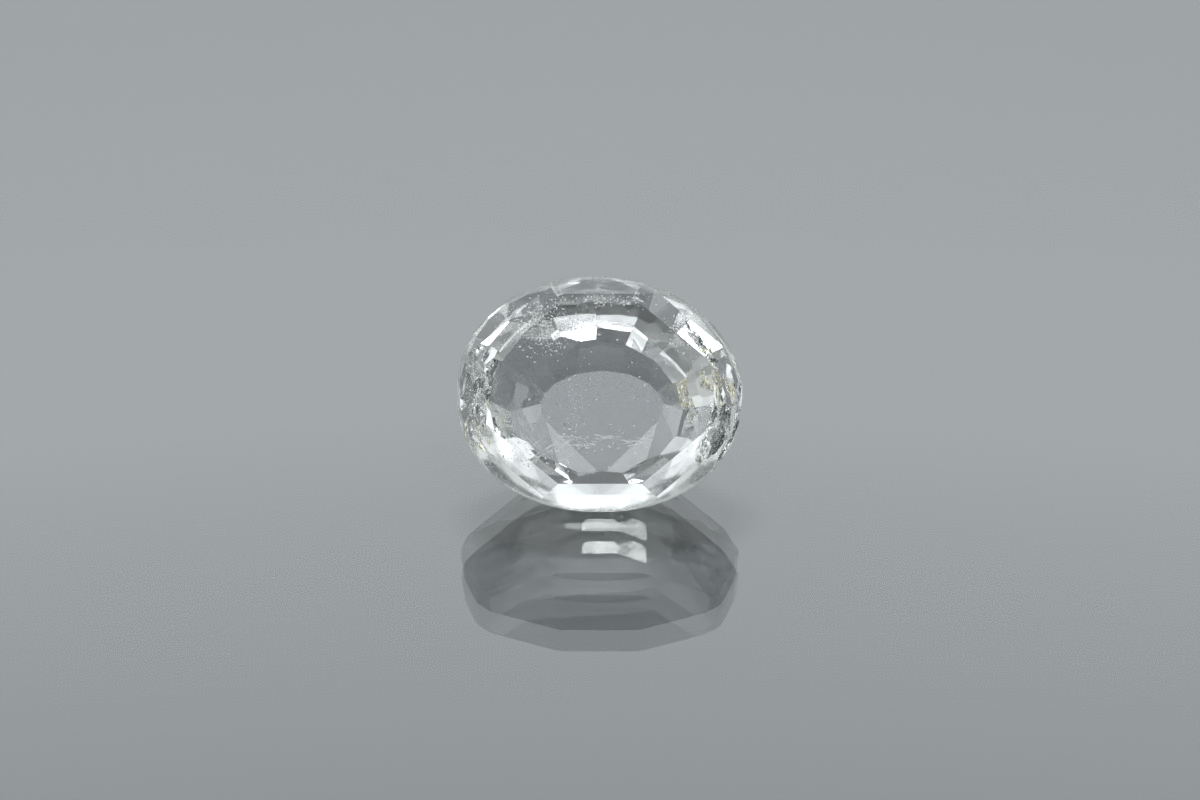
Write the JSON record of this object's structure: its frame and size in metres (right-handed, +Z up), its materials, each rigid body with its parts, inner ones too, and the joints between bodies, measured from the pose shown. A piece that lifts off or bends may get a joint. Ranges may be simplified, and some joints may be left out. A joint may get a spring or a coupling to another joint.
{
  "type": "oval-cut topaz",
  "caption": "Loose oval colourless topaz, transparent, with a rounded rim, a stepped crown and a windowed pavilion, leaning back on a flat of its pavilion.",
  "frame": {"origin": "bottom centre of the stone's bounding box, on the surface it rests on", "axes": "+X along the oval's long axis, +Z up, table turned to -Y and 34 degrees up"},
  "size_m": [0.016, 0.0096, 0.0116],
  "materials": {
    "topaz": "polished colourless crystal, see-through, with fine scratches, dust and chipped girdle edges"
  },
  "bodies": {
    "root": {"topaz": "topaz"}
  },
  "joints": []
}
